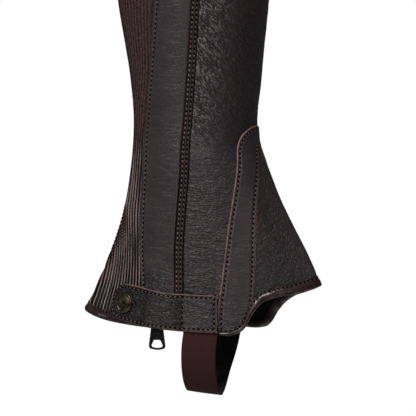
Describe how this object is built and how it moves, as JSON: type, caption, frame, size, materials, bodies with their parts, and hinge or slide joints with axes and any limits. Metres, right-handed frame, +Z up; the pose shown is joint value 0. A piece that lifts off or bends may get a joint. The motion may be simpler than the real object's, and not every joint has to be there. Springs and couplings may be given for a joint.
{
  "type": "half chap",
  "caption": "Right-leg leather half chap with a ribbed stretch panel at the back, a covered side zip, a snap tab over its lower end and an elastic strap under the foot.",
  "frame": {"origin": "on the axis of the leg at the widest part of the calf, 330 mm above the lowest point of the hem", "axes": "+X towards the toe, +Y towards the other leg, -Y the outer side with the zip and the snap tab, +Z up the leg"},
  "size_m": [0.1867, 0.1134, 0.475],
  "materials": {
    "leather": "dark brown, nearly black grained leather with a soft sheen",
    "smooth_leather": "the same leather, smoother, for the strips and the ankle reinforcement",
    "elastic": "dark brown stretch panel in narrow vertical ribs",
    "binding": "dark brown glossy edge binding",
    "webbing": "dark red-brown woven elastic",
    "zip_tape": "black woven tape",
    "zip_metal": "black painted slider and pull, black coil",
    "antique_brass": "darkened brass snap"
  },
  "bodies": {
    "chap": {"main_panel": "leather", "tongue": "leather", "ankle_overlay": "smooth_leather", "elastic_panel": "elastic", "zip_facing": "smooth_leather", "zip_cover": "smooth_leather", "zip_tape_rear": "zip_tape", "zip_tape_front": "zip_tape", "zip_chain": "zip_metal", "zip_slider": "zip_metal", "snap_tab": "leather", "snap_cap": "antique_brass", "snap_socket": "antique_brass", "snap_stud": "antique_brass", "foot_strap": "webbing", "hem_binding": "binding", "top_binding": "binding"},
    "pull": {"zip_pull": "zip_metal"}
  },
  "joints": [
    {"name": "pull_swing", "type": "hinge", "parent": "chap", "child": "pull", "pos_m": [-0.01679, -0.04143, -0.31993], "axis": [-0.9917, 0.1288, 0], "range_deg": [-4, 10]}
  ]
}
